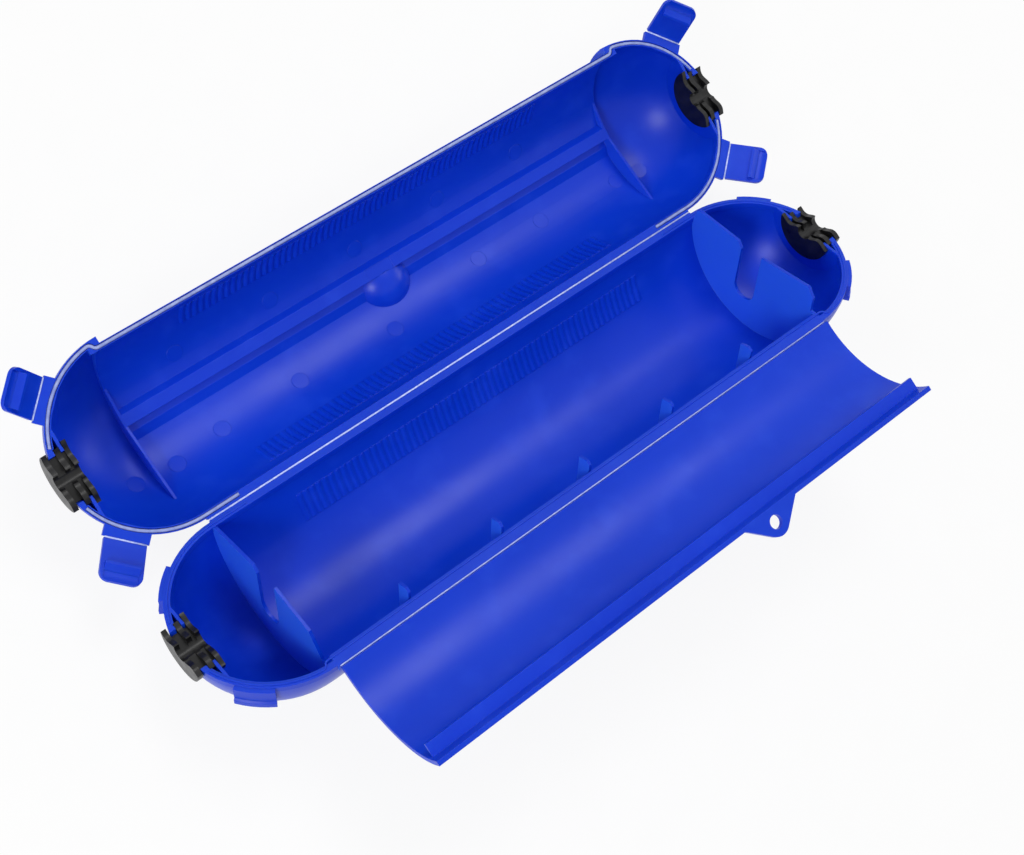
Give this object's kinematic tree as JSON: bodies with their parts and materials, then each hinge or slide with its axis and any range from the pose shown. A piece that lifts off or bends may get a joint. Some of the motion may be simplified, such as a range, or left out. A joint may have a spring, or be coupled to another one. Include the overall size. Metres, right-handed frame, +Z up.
{
  "type": "extension cord safety cover",
  "caption": "Hinged capsule-shaped cover that encloses the joined plug and socket of an extension cord, with a fold-over front flap, snap latches and split rubber cable seals.",
  "frame": {"origin": "middle of the open cover's outline on the surface it rests on", "axes": "+X along the cover towards its right end, +Y from the front flap to the lid, +Z up"},
  "size_m": [0.3922, 0.242, 0.0921],
  "materials": {
    "shell_blue": "moulded polypropylene, gloss",
    "grommet_rubber": "moulded black rubber",
    "seal_grey": "soft light grey sealing cord"
  },
  "bodies": {
    "base": {"base_shell": "shell_blue", "grommet_base_left": "grommet_rubber", "grommet_base_right": "grommet_rubber"},
    "lid": {"lid_shell": "shell_blue", "grommet_lid_left": "grommet_rubber", "grommet_lid_right": "grommet_rubber", "lid_seal_left": "seal_grey", "lid_seal_front": "seal_grey", "lid_seal_right": "seal_grey"},
    "flap": {"front_flap": "shell_blue"},
    "latch_front_left": {"latch_front_left": "shell_blue"},
    "latch_rear_left": {"latch_rear_left": "shell_blue"},
    "latch_front_right": {"latch_front_right": "shell_blue"},
    "latch_rear_right": {"latch_rear_right": "shell_blue"}
  },
  "joints": [
    {"name": "lid_hinge", "type": "hinge", "parent": "base", "child": "lid", "pos_m": [0.00043, 0.03268, 0.02946], "axis": [1, 0, 0], "range_deg": [-39.5, 140.5]},
    {"name": "flap_hinge", "type": "hinge", "parent": "base", "child": "flap", "pos_m": [0.00043, -0.05391, 0.06054], "axis": [-1, 0, 0], "range_deg": [-54.6, 125.4]},
    {"name": "latch_hinge_front_left", "type": "hinge", "parent": "lid", "child": "latch_front_left", "pos_m": [-0.17808, 0.10845, 0.05666], "axis": [0.7071, 0.6655, 0.2389], "range_deg": [-43, 47]},
    {"name": "latch_hinge_rear_left", "type": "hinge", "parent": "lid", "child": "latch_rear_left", "pos_m": [-0.17808, 0.0435, 0.03334], "axis": [-0.7071, 0.6655, 0.2389], "range_deg": [-25, 65]},
    {"name": "latch_hinge_front_right", "type": "hinge", "parent": "lid", "child": "latch_front_right", "pos_m": [0.17894, 0.10845, 0.05666], "axis": [0.7071, -0.6655, -0.2389], "range_deg": [-50, 40]},
    {"name": "latch_hinge_rear_right", "type": "hinge", "parent": "lid", "child": "latch_rear_right", "pos_m": [0.17894, 0.0435, 0.03334], "axis": [-0.7071, -0.6655, -0.2389], "range_deg": [-35, 55]}
  ]
}
